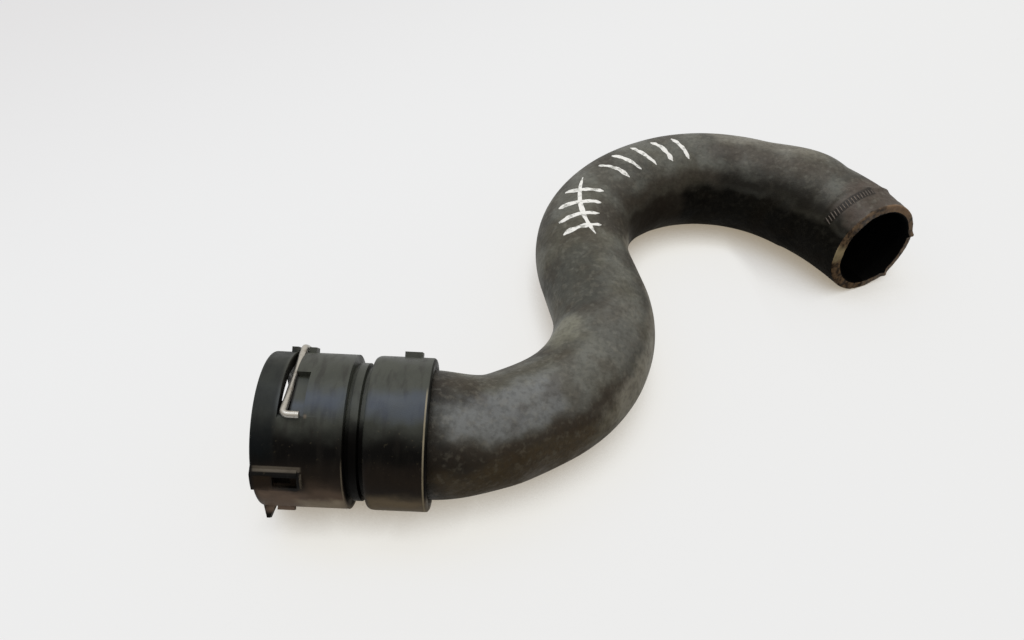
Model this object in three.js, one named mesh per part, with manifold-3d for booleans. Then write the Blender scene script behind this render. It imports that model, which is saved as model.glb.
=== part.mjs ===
// Coolant hose with a quick coupler, lying flat: a moulded rubber S bend, a plastic coupler on its left
// end, and a bare cut end on its right. Millimetres, +Z up. The coupler's axis runs along +X, from its
// mouth to the hose; +Y points away from the side where the clip's feet show. The table is z = 0.
import * as THREE from "three";
import { mergeVertices } from "three/addons/utils/BufferGeometryUtils.js";
import Module from "manifold-3d";

// Hose
const HOSE_RADIUS = 19.8; // outer radius of the plain stretch
const HOSE_WALL = 4.2;
const COUPLED_TAPER = 22; // from the bell over the coupler's stem to the plain stretch
const SHOULDER_RADIUS = 23.5; // the bulge before the clamp seat
const CLAMP_SEAT_RADIUS = 22.6;
const CLAMP_SEAT_LENGTH = 30;
const SHOULDER_FALL = 9; // length of the step from the shoulder down to the seat
const CLAMP_LINE = 16; // the ridge that the clamp band raised, from the cut end
const RIDGE_HEIGHT = 0.35;
const RIDGE_WIDTH = 2.4;
const END_RADIUS = 21.4; // past the ridge the hose narrows to this at its cut end
const CUT_CHAMFER = 0.6;
const CUT_TURN = -7; // the knife went a little off square: degrees, seen from above
const CUT_LEAN = 7; // and degrees back at the top
const SWELL_START = 158; // from the locking sleeve to where the hose begins to widen
const LIFT_RUN = 46; // length over which the hose comes down from the coupler to the table
const RING_SPACING = 6.5; // between the hose's rings in the plain stretch

// Route of the hose after the locking sleeve: straights in mm, bends as radius and turn in degrees
const LEAD = 1.2;
const FIRST_BEND_RADIUS = 43;
const FIRST_BEND_TURN = 35.3;
const FIRST_STRAIGHT = 17.2;
const SECOND_BEND_RADIUS = 51;
const SECOND_BEND_TURN = 69;
const MIDDLE_STRAIGHT = 17.5;
const THIRD_BEND_RADIUS = 51.5;
const THIRD_BEND_TURN = -65.2;
const FOURTH_BEND_RADIUS = 65;
const FOURTH_BEND_TURN = -65.8;
const LAST_BEND_RADIUS = 88;
const LAST_BEND_TURN = -30.7;
const LAST_STRAIGHT = 8;

// Coupler body, with stations measured from its mouth
const BARREL_RADIUS = 26;
const BARREL_LENGTH = 28.8;
const MOUTH_WALL = 4; // round the bore that takes the bead of the mating pipe
const MOUTH_DEPTH = 15;
const MOUTH_FLARE = 1.6;
const MOUTH_FLARE_LENGTH = 2.4;
const RIM_ROUND = 0.9;
const SEAL_STEP = 1; // the seal bore is this much smaller in radius than the mouth
const SEAL_LAND = 2.6; // plain bore between that step and the gland
const SEAL_BORE_BACK = 1.8; // from the end of the seal bore to the end of the barrel
const BORE_TAPER = 5; // length of the cone from the seal bore to the stem bore
const GROOVE_WIDTH = 1.5;
const GROOVE_DEPTH = 3.6;
const GROOVE_LEAN = 0.2; // slope of the groove's front wall
const COLLAR_WIDTH = 2.5;
const COLLAR_STEP = 2.7; // the collar is this much smaller than the barrel
const NECK_DROP = 4.2; // and the neck this much
const NECK_SLOPE = 0.5;
const NECK_WIDTH = 1.5;
const STEM_WALL = 2.4;
const STEM_LENGTH = 21.5;
const STEM_CHAMFER = 0.6;
const BARB_HEIGHT = 0.8;
const BARB_LENGTH = 4;
const BARB_LEAN = 0.3; // slope of the barb's steep face
const BARB_PITCH = 5.2;
const BARB_COUNT = 3;

// Locking sleeve over the hose end, as thick round as the barrel
const SLEEVE_WALL = 3.8;
const SLEEVE_LENGTH = 20.1;
const SLEEVE_FLANGE = 2.4;
const SLEEVE_FRONT_ROUND = 2.2; // length of the round at its front edge
const SLEEVE_FRONT_DROP = 1; // and its height
const SLEEVE_REAR_ROUND = 1.1;
const SLEEVE_LIP = 0.8; // lead-in chamfer at its open end
const LUG_START = 9.2; // raised lug on the sleeve, from its front face
const LUG_LENGTH = 6;
const LUG_WIDTH = 6;
const LUG_HEIGHT = 1.7;

// Wire clip: a ring with two chords, one chord each side of the bore
const WIRE_RADIUS = 1.15;
const CLIP_STATION = 10.1; // plane of the clip
const CLIP_SEAT = 0.4; // between the wire and the barrel
const FOOT_ANGLE = 63.5; // where a foot lies, from the near side upwards
const FOOT_LENGTH = 5.2;
const FOOT_BEND = 2.2;
const CROWN_BEND = 2;
const CLIP_TRAVEL = 15; // pulled out until its feet meet the ends of their pockets
const SLOT_FORWARD = 0.95; // room in the slot on the mouth's side of the wire
const CLIP_STEPS = 90;
const CLIP_SIDES = 10;
const GUIDE_HEIGHT = 1.7; // two low lugs at each end of the crown
const GUIDE_FRONT_LENGTH = 2.3;
const GUIDE_REAR_LENGTH = 2.5;
const GUIDE_WIDTH = 5.5;
const GUIDE_ANGLE = 143.5;

// Key pad, locating tooth and low rib on the near side of the barrel
const PAD_LENGTH = 16.2;
const PAD_HEIGHT = 1.3;
const PAD_LOW = 8.2;
const PAD_HIGH = 21.8;
const PAD_SLOPE = 6; // degrees that its upper side slopes over, down to its root
const PAD_CORNER = 1.6;
const WINDOW_START = 7.1;
const WINDOW_LENGTH = 7.7;
const WINDOW_LOW = 11.4;
const WINDOW_HIGH = 20;
const WINDOW_DEPTH = 2.6;
const TOOTH_BASE = 3.8;
const TOOTH_HEIGHT = 4;
const TOOTH_TIP = 1;
const TOOTH_WIDTH = 2.6;
const TOOTH_ANGLE = -36;
const RIB_GAP = 0.9;
const RIB_LENGTH = 5.6;
const RIB_HEIGHT = 1.2;

// Seal
const SEAL_SECTION = 1.6; // section radius of the ring
const SEAL_STAND = 0.35; // how far it stands into the bore
const SEAL_SIDES = 10;

const CLEARANCE = 0.3; // between pieces that touch
const ROOTED = 1.2; // depth that a raised form reaches into the wall that it grows from
const ROUND_SIDES = 48;
const HOSE_SIDES = 36;
const RAD = Math.PI / 180;

const rubber = new THREE.MeshStandardMaterial({ color: 0x35373a, roughness: 0.75, metalness: 0 });
const nylon = new THREE.MeshStandardMaterial({ color: 0x1b1d1f, roughness: 0.45, metalness: 0 });
const sleeveNylon = new THREE.MeshStandardMaterial({ color: 0x1f2124, roughness: 0.5, metalness: 0 });
const springSteel = new THREE.MeshStandardMaterial({ color: 0xc9c8c4, roughness: 0.3, metalness: 1 });
const sealRubber = new THREE.MeshStandardMaterial({ color: 0x141414, roughness: 0.6, metalness: 0 });

const wasm = await Module();
wasm.setup();

// The geometry as a solid for a join or a cut.
function solid(geometry) {
  const bare = geometry.clone();
  bare.deleteAttribute("normal");
  bare.deleteAttribute("uv");
  const merged = mergeVertices(bare, 1e-4);
  const vertProperties = new Float32Array(merged.attributes.position.array);
  const triVerts = new Uint32Array(merged.index.array);
  return new wasm.Manifold(new wasm.Mesh({ numProp: 3, vertProperties, triVerts }));
}

// A solid back as a geometry with flat normals.
function geometryOf(made) {
  const mesh = made.getMesh();
  const geometry = new THREE.BufferGeometry();
  geometry.setAttribute("position", new THREE.BufferAttribute(new Float32Array(mesh.vertProperties), 3));
  geometry.setIndex(new THREE.BufferAttribute(new Uint32Array(mesh.triVerts), 1));
  geometry.computeVertexNormals();
  return geometry;
}

// A closed profile of [station, radius] points turned about the coupler's axis.
function turned(profile, sides = ROUND_SIDES) {
  const points = [...profile, profile[0]].map(([station, radius]) => new THREE.Vector2(radius, station));
  return new THREE.LatheGeometry(points, sides).rotateZ(-Math.PI / 2);
}

// Points of a quarter round between two [station, radius] corners, bulging outwards.
function quarter([s0, r0], [s1, r1], riseFirst, steps = 3) {
  return Array.from({ length: steps + 1 }, (_, i) => {
    const a = (i / steps) * 90 * RAD;
    const early = Math.sin(a);
    const late = 1 - Math.cos(a);
    const [along, across] = riseFirst ? [late, early] : [early, late];
    return [s0 + (s1 - s0) * along, r0 + (r1 - r0) * across];
  });
}

// A point at a station, radius and angle; the angle runs from the near side (-Y) up over the top.
function around(station, radius, angle) {
  return new THREE.Vector3(station, -radius * Math.cos(angle * RAD), radius * Math.sin(angle * RAD));
}

// A block that stands on the barrel at an angle: x along the axis, y around, z outwards.
function blockAt(angle, xRange, width, zRange) {
  const [x0, x1] = xRange;
  const [z0, z1] = zRange;
  const block = new THREE.BoxGeometry(x1 - x0, width, z1 - z0);
  block.translate((x0 + x1) / 2, 0, (z0 + z1) / 2);
  return block.rotateX((90 - angle) * RAD);
}

// A stretch of shell between two radii and two angles, from one station to another; its upper side may
// slope out to a higher angle at its root.
function shellSector(x0, x1, inner, outer, low, high, slope = 0) {
  const shape = new THREE.Shape();
  shape.absarc(0, 0, outer, low * RAD, high * RAD, false);
  shape.absarc(0, 0, inner, (high + slope) * RAD, low * RAD, true);
  const sector = new THREE.ExtrudeGeometry(shape, { depth: x1 - x0, bevelEnabled: false, curveSegments: 6 });
  // The shape's x becomes -Y, its y becomes +Z and its depth runs along the axis.
  const turn = new THREE.Matrix4().makeBasis(
    new THREE.Vector3(0, -1, 0),
    new THREE.Vector3(0, 0, 1),
    new THREE.Vector3(-1, 0, 0),
  );
  return sector.applyMatrix4(turn).translate(x1, 0, 0);
}

// Stations that pieces share
const collarStart = BARREL_LENGTH + GROOVE_WIDTH;
const collarEnd = collarStart + COLLAR_WIDTH;
const neckEnd = collarEnd + NECK_SLOPE + NECK_WIDTH;
const sleeveStart = neckEnd + CLEARANCE;
const sleeveEnd = sleeveStart + SLEEVE_LENGTH;
const hoseStart = sleeveStart + SLEEVE_FLANGE + CLEARANCE;
const stemEnd = neckEnd + STEM_LENGTH;
const clipRadius = BARREL_RADIUS + CLIP_SEAT + WIRE_RADIUS;

// Bores and what fits in them: the hose end just fills the sleeve, the barbs just fill the hose, and the
// gland holds the seal.
const sleeveBoreRadius = BARREL_RADIUS - SLEEVE_WALL;
const coupledEndRadius = sleeveBoreRadius - CLEARANCE;
const mouthRadius = BARREL_RADIUS - MOUTH_WALL;
const sealBoreRadius = mouthRadius - SEAL_STEP;
const sealBoreEnd = BARREL_LENGTH - SEAL_BORE_BACK;
const glandStart = MOUTH_DEPTH + SEAL_STEP + SEAL_LAND;
const glandEnd = glandStart + 2 * (SEAL_SECTION + CLEARANCE);
const glandRadius = sealBoreRadius + 2 * SEAL_SECTION - SEAL_STAND + CLEARANCE / 2;
const barbRadius = coupledEndRadius - HOSE_WALL - CLEARANCE;
const stemRadius = barbRadius - BARB_HEIGHT;
const stemBoreRadius = stemRadius - STEM_WALL;

// Clip chords: each leg is a chord of the clip's ring, its wire half inside the mouth's bore.
const chordHalfAngle = Math.acos(mouthRadius / clipRadius) / RAD;
const legAngle = FOOT_ANGLE + chordHalfAngle; // direction square to the leg
const crownAngle = FOOT_ANGLE + 2 * chordHalfAngle; // where the leg meets the crown
const slotStart = CLIP_STATION - WIRE_RADIUS - SLOT_FORWARD;
const slotEnd = CLIP_STATION + WIRE_RADIUS + CLEARANCE;
const slotFloor = mouthRadius - WIRE_RADIUS - 2 * CLEARANCE;
const foot = around(CLIP_STATION, clipRadius, FOOT_ANGLE);
const footEnd = CLIP_STATION + FOOT_LENGTH;
const pocketEnd = footEnd + 3 * CLEARANCE;
const pocketFloor = foot.z - WIRE_RADIUS - CLEARANCE;
const pocketStop = foot.y + CLIP_TRAVEL + WIRE_RADIUS + CLEARANCE;

// Barbs on the stem, each with a steep face to the neck and a long slope to the stem's end.
function barbProfile() {
  const points = [];
  for (let i = BARB_COUNT - 1; i >= 0; i--) {
    const slopeEnd = stemEnd - STEM_CHAMFER - i * BARB_PITCH;
    const face = slopeEnd - BARB_LENGTH;
    points.push([face, stemRadius], [face + BARB_LEAN, barbRadius], [slopeEnd, stemRadius]);
  }
  return points;
}

// Front barrel, collar, neck and barbed stem, moulded in one.
function couplerBody() {
  const collar = BARREL_RADIUS - COLLAR_STEP;
  const neck = BARREL_RADIUS - NECK_DROP;
  const outside = [
    [0, mouthRadius + MOUTH_FLARE],
    ...quarter([0, BARREL_RADIUS - RIM_ROUND], [RIM_ROUND, BARREL_RADIUS], true),
    [BARREL_LENGTH, BARREL_RADIUS],
    [BARREL_LENGTH + GROOVE_LEAN, BARREL_RADIUS - GROOVE_DEPTH],
    [collarStart, BARREL_RADIUS - GROOVE_DEPTH],
    [collarStart, collar],
    [collarEnd, collar],
    [collarEnd + NECK_SLOPE, neck],
    [neckEnd, neck],
    [neckEnd, stemRadius],
    ...barbProfile(),
    [stemEnd, stemRadius - STEM_CHAMFER],
  ];
  const inside = [
    [stemEnd, stemBoreRadius + STEM_CHAMFER],
    [stemEnd - STEM_CHAMFER, stemBoreRadius],
    [sealBoreEnd + BORE_TAPER, stemBoreRadius],
    [sealBoreEnd, sealBoreRadius],
    [glandEnd, sealBoreRadius],
    [glandEnd, glandRadius],
    [glandStart, glandRadius],
    [glandStart, sealBoreRadius],
    [MOUTH_DEPTH + SEAL_STEP, sealBoreRadius],
    [MOUTH_DEPTH, mouthRadius],
    [MOUTH_FLARE_LENGTH, mouthRadius],
  ];
  let body = solid(turned([...outside, ...inside]));

  body = body.add(keyPad()).subtract(keyWindow());
  body = body.add(locatingTooth()).add(lowRib());
  for (const side of [1, -1]) {
    for (const guide of crownGuides(side)) body = body.add(guide);
    body = body.subtract(clipSlot(side)).subtract(footPocket(side));
  }
  return geometryOf(body);
}

// A raised pad round the key window, its rear corners rounded off.
function keyPad() {
  const root = BARREL_RADIUS - ROOTED;
  const top = BARREL_RADIUS + PAD_HEIGHT;
  const corner = PAD_CORNER / (top * RAD);
  const long = shellSector(0, PAD_LENGTH, root, top, PAD_LOW + corner, PAD_HIGH - corner, PAD_SLOPE);
  const short = shellSector(0, PAD_LENGTH - PAD_CORNER, root, top, PAD_LOW, PAD_HIGH, PAD_SLOPE);
  return solid(long).add(solid(short));
}

function keyWindow() {
  const floor = BARREL_RADIUS + PAD_HEIGHT - WINDOW_DEPTH;
  const x1 = WINDOW_START + WINDOW_LENGTH;
  return solid(shellSector(WINDOW_START, x1, floor, floor + 2 * WINDOW_DEPTH, WINDOW_LOW, WINDOW_HIGH));
}

// A wedge that stands out of the rim and finds the mating pipe's notch.
function locatingTooth() {
  const root = BARREL_RADIUS - ROOTED;
  const tip = BARREL_RADIUS + TOOTH_HEIGHT;
  const shape = new THREE.Shape();
  shape.moveTo(0, root);
  shape.lineTo(TOOTH_BASE, root);
  shape.lineTo(TOOTH_BASE, BARREL_RADIUS);
  shape.lineTo((TOOTH_BASE + TOOTH_TIP) / 2, tip);
  shape.lineTo((TOOTH_BASE - TOOTH_TIP) / 2, tip);
  shape.lineTo(0, BARREL_RADIUS);
  const wedge = new THREE.ExtrudeGeometry(shape, { depth: TOOTH_WIDTH, bevelEnabled: false });
  wedge.translate(0, 0, -TOOTH_WIDTH / 2).rotateX(Math.PI / 2);
  return solid(wedge.rotateX((90 - TOOTH_ANGLE) * RAD));
}

function lowRib() {
  const x0 = TOOTH_BASE + RIB_GAP;
  const zRange = [BARREL_RADIUS - ROOTED, BARREL_RADIUS + RIB_HEIGHT];
  return solid(blockAt(TOOTH_ANGLE, [x0, x0 + RIB_LENGTH], TOOTH_WIDTH, zRange));
}

// The low lugs that keep the crown in line, one each side of the wire.
function crownGuides(side) {
  const zRange = [BARREL_RADIUS - ROOTED, BARREL_RADIUS + GUIDE_HEIGHT];
  const front = [slotStart - GUIDE_FRONT_LENGTH, slotStart];
  const rear = [slotEnd, slotEnd + GUIDE_REAR_LENGTH];
  return [front, rear].map((x) => solid(blockAt(side * GUIDE_ANGLE, x, GUIDE_WIDTH, zRange)));
}

// The flat-floored slot that a leg lies in; its middle breaks through into the mouth's bore.
function clipSlot(side) {
  const across = 2 * BARREL_RADIUS;
  return solid(blockAt(side * legAngle, [slotStart, slotEnd], across, [slotFloor, across]));
}

// The shallow pocket that a foot slides along, with the end wall that stops it.
function footPocket(side) {
  const x0 = slotEnd - CLEARANCE;
  const y0 = -BARREL_RADIUS;
  const pocket = new THREE.BoxGeometry(pocketEnd - x0, pocketStop - y0, BARREL_RADIUS);
  pocket.translate((x0 + pocketEnd) / 2, (y0 + pocketStop) / 2, pocketFloor + BARREL_RADIUS / 2);
  return side > 0 ? solid(pocket) : solid(pocket).mirror([0, 0, 1]);
}

// Outer sleeve: a cup with a front flange against the neck, open to the hose.
function lockingSleeve() {
  const profile = [
    [sleeveStart, stemRadius + CLEARANCE],
    ...quarter(
      [sleeveStart, BARREL_RADIUS - SLEEVE_FRONT_DROP],
      [sleeveStart + SLEEVE_FRONT_ROUND, BARREL_RADIUS],
      true,
    ),
    ...quarter(
      [sleeveEnd - SLEEVE_REAR_ROUND, BARREL_RADIUS],
      [sleeveEnd, BARREL_RADIUS - SLEEVE_REAR_ROUND],
      false,
    ),
    [sleeveEnd, sleeveBoreRadius + SLEEVE_LIP],
    [sleeveEnd - SLEEVE_LIP, sleeveBoreRadius],
    [sleeveStart + SLEEVE_FLANGE, sleeveBoreRadius],
    [sleeveStart + SLEEVE_FLANGE, stemRadius + CLEARANCE],
  ];
  const x0 = sleeveStart + LUG_START;
  const zRange = [BARREL_RADIUS - ROOTED, BARREL_RADIUS + LUG_HEIGHT];
  const lug = solid(blockAt(GUIDE_ANGLE, [x0, x0 + LUG_LENGTH], LUG_WIDTH, zRange));
  return geometryOf(solid(turned(profile)).add(lug));
}

// An arc of the clip's ring in its own plane.
class CrownArc extends THREE.Curve {
  constructor(fromAngle, toAngle) {
    super();
    this.fromAngle = fromAngle;
    this.toAngle = toAngle;
  }
  getPoint(t) {
    return around(CLIP_STATION, clipRadius, this.fromAngle + (this.toAngle - this.fromAngle) * t);
  }
}

// The wire: foot, leg, crown, leg, foot, with its corners bent round.
function springClip() {
  const mirrored = (p) => new THREE.Vector3(p.x, p.y, -p.z);
  const corner = around(CLIP_STATION, clipRadius, crownAngle);
  const legWay = corner.clone().sub(foot).normalize();
  const footTip = foot.clone().setX(footEnd);
  const footIn = foot.clone().setX(CLIP_STATION + FOOT_BEND);
  const legStart = foot.clone().addScaledVector(legWay, FOOT_BEND);
  const legStop = corner.clone().addScaledVector(legWay, -CROWN_BEND);
  const arcAngle = crownAngle + CROWN_BEND / (clipRadius * RAD);
  const arcStart = around(CLIP_STATION, clipRadius, arcAngle);
  const path = new THREE.CurvePath();
  path.add(new THREE.LineCurve3(footTip, footIn));
  path.add(new THREE.QuadraticBezierCurve3(footIn, foot, legStart));
  path.add(new THREE.LineCurve3(legStart, legStop));
  path.add(new THREE.QuadraticBezierCurve3(legStop, corner, arcStart));
  path.add(new CrownArc(arcAngle, 360 - arcAngle));
  path.add(new THREE.QuadraticBezierCurve3(mirrored(arcStart), mirrored(corner), mirrored(legStop)));
  path.add(new THREE.LineCurve3(mirrored(legStop), mirrored(legStart)));
  path.add(new THREE.QuadraticBezierCurve3(mirrored(legStart), mirrored(foot), mirrored(footIn)));
  path.add(new THREE.LineCurve3(mirrored(footIn), mirrored(footTip)));
  const section = new THREE.Shape().absarc(0, 0, WIRE_RADIUS, 0, 2 * Math.PI, false);
  const settings = { steps: CLIP_STEPS, extrudePath: path, curveSegments: CLIP_SIDES / 2 };
  return new THREE.ExtrudeGeometry(section, settings);
}

// Round seal, lying in the gland with its inner edge standing into the bore.
function sealRing() {
  const centre = sealBoreRadius - SEAL_STAND + SEAL_SECTION;
  const ring = new THREE.TorusGeometry(centre, SEAL_SECTION, SEAL_SIDES, ROUND_SIDES);
  return ring.rotateY(Math.PI / 2).translate((glandStart + glandEnd) / 2, 0, 0);
}

const smooth = (t) => {
  const x = Math.min(Math.max(t, 0), 1);
  return x * x * (3 - 2 * x);
};

const lead = sleeveEnd - hoseStart + LEAD;
const route = [
  { straight: lead },
  { radius: FIRST_BEND_RADIUS, turn: FIRST_BEND_TURN },
  { straight: FIRST_STRAIGHT },
  { radius: SECOND_BEND_RADIUS, turn: SECOND_BEND_TURN },
  { straight: MIDDLE_STRAIGHT },
  { radius: THIRD_BEND_RADIUS, turn: THIRD_BEND_TURN },
  { radius: FOURTH_BEND_RADIUS, turn: FOURTH_BEND_TURN },
  { radius: LAST_BEND_RADIUS, turn: LAST_BEND_TURN },
  { straight: LAST_STRAIGHT },
];
const lengthOf = (leg) => leg.straight ?? leg.radius * Math.abs(leg.turn) * RAD;
const hoseLength = route.reduce((sum, leg) => sum + lengthOf(leg), 0);

// Plan position and heading at a distance along the hose.
function planAt(distance) {
  let x = hoseStart;
  let y = 0;
  let heading = 0;
  let left = distance;
  for (const leg of route) {
    const run = Math.min(left, lengthOf(leg));
    if (leg.straight !== undefined) {
      x += run * Math.cos(heading);
      y += run * Math.sin(heading);
    } else {
      const side = Math.sign(leg.turn);
      const next = heading + (side * run) / leg.radius;
      x += side * leg.radius * (Math.sin(next) - Math.sin(heading));
      y -= side * leg.radius * (Math.cos(next) - Math.cos(heading));
      heading = next;
    }
    left -= run;
    if (left <= 0) break;
  }
  return { x, y, heading };
}

// Outer radius: bell over the stem, plain stretch, swell to the shoulder, clamp seat, narrowed end.
function outerRadius(distance) {
  const past = distance - (sleeveEnd - hoseStart);
  const fromEnd = hoseLength - distance;
  const shoulderAt = CLAMP_SEAT_LENGTH + SHOULDER_FALL;
  const bell = (coupledEndRadius - HOSE_RADIUS) * (1 - smooth(past / COUPLED_TAPER));
  const swellRun = hoseLength - (sleeveEnd - hoseStart) - SWELL_START - shoulderAt;
  const swell = (SHOULDER_RADIUS - HOSE_RADIUS) * smooth((past - SWELL_START) / swellRun);
  const fall = (SHOULDER_RADIUS - CLAMP_SEAT_RADIUS) * smooth((shoulderAt - fromEnd) / SHOULDER_FALL);
  const tuck = (CLAMP_SEAT_RADIUS - END_RADIUS) * smooth(1 - fromEnd / CLAMP_LINE);
  const ridge = RIDGE_HEIGHT * Math.max(0, 1 - Math.abs(fromEnd - CLAMP_LINE) / (RIDGE_WIDTH / 2));
  return HOSE_RADIUS + bell + swell - fall - tuck + ridge;
}

// Height of the centreline: level in the coupler, then resting on the table.
function centreHeight(distance) {
  const past = distance - (sleeveEnd - hoseStart);
  const resting = outerRadius(distance);
  return resting + (BARREL_RADIUS - resting) * (1 - smooth(past / LIFT_RUN));
}

function centreAt(distance) {
  const { x, y } = planAt(distance);
  return new THREE.Vector3(x, y, centreHeight(distance) - BARREL_RADIUS);
}

// A ring of points round the hose at a distance along it: square to it, and turning into the plane of the
// cut over the narrowed end.
function hoseRing(distance, radius) {
  const { heading } = planAt(distance);
  const step = 0.5;
  const before = Math.max(distance - step, 0);
  const after = Math.min(distance + step, hoseLength);
  const slope = (centreHeight(after) - centreHeight(before)) / (after - before);
  const flat = new THREE.Vector3(Math.cos(heading), Math.sin(heading), 0);
  const along = flat.clone().setZ(slope).normalize();
  const side = new THREE.Vector3(-flat.y, flat.x, 0);
  const up = new THREE.Vector3().crossVectors(along, side);
  const centre = centreAt(distance);
  const cut = flat.clone().applyAxisAngle(new THREE.Vector3(0, 0, 1), CUT_TURN * RAD);
  cut.multiplyScalar(Math.cos(CUT_LEAN * RAD)).setZ(Math.sin(CUT_LEAN * RAD));
  const share = smooth(1 - (hoseLength - distance) / CLAMP_LINE) / flat.dot(cut);
  return Array.from({ length: HOSE_SIDES }, (_, i) => {
    const a = (i / HOSE_SIDES) * 2 * Math.PI;
    const out = side.clone().multiplyScalar(Math.cos(a)).addScaledVector(up, Math.sin(a));
    return centre.clone().addScaledVector(out, radius).addScaledVector(flat, -radius * out.dot(cut) * share);
  });
}

// Distances of the rings: closer in the tapers, the ridge and the tight bends.
function ringDistances() {
  const sleeved = sleeveEnd - hoseStart;
  const ridge = hoseLength - CLAMP_LINE;
  const seat = hoseLength - CLAMP_SEAT_LENGTH;
  const list = [0, sleeved * 0.5, sleeved];
  const bellEnd = sleeved + COUPLED_TAPER;
  for (let i = 1; i <= 4; i++) list.push(sleeved + (COUPLED_TAPER * i) / 4);
  const shoulder = seat - SHOULDER_FALL;
  const plain = Math.round((shoulder - bellEnd) / RING_SPACING);
  for (let i = 1; i <= plain; i++) list.push(bellEnd + ((shoulder - bellEnd) * i) / plain);
  for (const part of [0.35, 0.65, 1]) list.push(shoulder + SHOULDER_FALL * part);
  list.push(seat + (ridge - RIDGE_WIDTH / 2 - seat) / 2);
  list.push(ridge - RIDGE_WIDTH / 2, ridge, ridge + RIDGE_WIDTH / 2);
  list.push((ridge + RIDGE_WIDTH / 2 + hoseLength - CUT_CHAMFER) / 2, hoseLength - CUT_CHAMFER);
  return list;
}

// One skin out and one skin back, with flat ends: a loft of rings closed on itself.
function hose() {
  const distances = ringDistances();
  const rings = [hoseRing(0, outerRadius(0) - CUT_CHAMFER)];
  rings.push(hoseRing(CUT_CHAMFER, outerRadius(0)));
  for (const d of distances.slice(1)) rings.push(hoseRing(d, outerRadius(d)));
  rings.push(hoseRing(hoseLength, outerRadius(hoseLength) - CUT_CHAMFER));
  rings.push(hoseRing(hoseLength, outerRadius(hoseLength) - HOSE_WALL));
  const inner = distances.filter((d, i) => i % 2 === 0 && d < hoseLength - CUT_CHAMFER);
  for (const d of inner.reverse()) rings.push(hoseRing(d, outerRadius(d) - HOSE_WALL));
  const positions = rings.flat().flatMap((p) => [p.x, p.y, p.z]);
  const index = [];
  for (let i = 0; i < rings.length; i++) {
    const here = i * HOSE_SIDES;
    const next = ((i + 1) % rings.length) * HOSE_SIDES;
    for (let j = 0; j < HOSE_SIDES; j++) {
      const k = (j + 1) % HOSE_SIDES;
      index.push(here + j, here + k, next + k, here + j, next + k, next + j);
    }
  }
  const geometry = new THREE.BufferGeometry();
  geometry.setAttribute("position", new THREE.Float32BufferAttribute(positions, 3));
  geometry.setIndex(index);
  geometry.computeVertexNormals();
  return geometry;
}

function piece(name, geometry, material) {
  const mesh = new THREE.Mesh(geometry, material);
  mesh.name = name;
  return mesh;
}

const assembly = new THREE.Group();
assembly.add(
  piece("hose", hose(), rubber),
  piece("coupler_body", couplerBody(), nylon),
  piece("locking_sleeve", lockingSleeve(), sleeveNylon),
  piece("spring_clip", springClip(), springSteel),
  piece("seal_ring", sealRing(), sealRubber),
);

// The part stands on z = 0 with its bounding box centred on the origin in plan.
const bounds = new THREE.Box3().setFromObject(assembly);
const middle = bounds.getCenter(new THREE.Vector3());
assembly.position.set(-middle.x, -middle.y, -bounds.min.z);
const part = new THREE.Group();
part.add(assembly);

export default part;
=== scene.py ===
import math
import random

import bmesh
import bpy
from mathutils import Matrix, Vector, noise


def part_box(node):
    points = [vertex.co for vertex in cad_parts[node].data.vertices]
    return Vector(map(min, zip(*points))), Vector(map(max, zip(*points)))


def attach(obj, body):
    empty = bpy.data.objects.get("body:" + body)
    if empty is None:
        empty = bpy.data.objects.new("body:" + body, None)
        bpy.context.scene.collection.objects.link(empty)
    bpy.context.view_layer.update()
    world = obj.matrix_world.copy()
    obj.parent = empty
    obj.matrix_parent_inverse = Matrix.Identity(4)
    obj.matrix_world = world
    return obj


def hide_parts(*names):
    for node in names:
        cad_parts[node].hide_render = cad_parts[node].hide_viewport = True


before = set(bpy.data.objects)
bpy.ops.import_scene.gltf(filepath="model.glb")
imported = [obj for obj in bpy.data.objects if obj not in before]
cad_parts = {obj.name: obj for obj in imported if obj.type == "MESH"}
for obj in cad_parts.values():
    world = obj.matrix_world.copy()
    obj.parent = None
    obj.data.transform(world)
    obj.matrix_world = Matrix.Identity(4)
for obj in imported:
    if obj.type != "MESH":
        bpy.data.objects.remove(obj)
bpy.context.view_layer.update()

# Place of the coupler
# All stations run along the coupler's axis from its mouth to the hose, in millimetres, and angles run
# from the near side up over the top. The seal, the mouth and the hose end in the frame give the places.
MM = 0.001
RAD = math.pi / 180
seal_low, seal_high = (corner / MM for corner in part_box("seal_ring"))
mouth = Vector((
    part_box("coupler_body")[0].x / MM, (seal_low.y + seal_high.y) / 2, (seal_low.z + seal_high.z) / 2))
hose_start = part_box("hose")[0].x / MM
sleeve_low, sleeve_high = (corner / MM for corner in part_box("locking_sleeve"))


def around(station, radius, angle):
    """A point in the row frame, in millimetres, at a station, radius and angle in degrees."""
    return mouth + Vector((station, -radius * math.cos(angle * RAD), radius * math.sin(angle * RAD)))


# Moulded hose
# One length of EPDM rubber, cured on a bent mandrel and cut off a little askew at its right end. It is
# belled over the coupler's stem, and swells before the seat that a band clamp has marked.
HOSE_RADIUS = 19.8
HOSE_WALL = 4.2
COUPLED_END_RADIUS = 21.9
COUPLED_TAPER = 22
ARCH_RADIUS = 21.1
SHOULDER_RADIUS = 22.8
CLAMP_SEAT_RADIUS = 22.1
CLAMP_SEAT_LENGTH = 30
SHOULDER_RISE = 25
SHOULDER_FALL = 9
SWELL_START = 158
SWELL_RUN = 70
LIFT_RUN = 46
END_RADIUS = 21.4
END_TAPER = 16
CUT_TURN = -7
CUT_LEAN = 7
# The clamp's ridge lies near the cut on the hose's right side and farther back on its left
RIDGE_FROM_CUT = 13.4
RIDGE_SLANT = 7.6
RIDGE_HEIGHT = 0.5
RIDGE_WIDTH = 0.75
BAND_DEPTH = 0.3
BAND_WIDTH = 6.5
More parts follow.
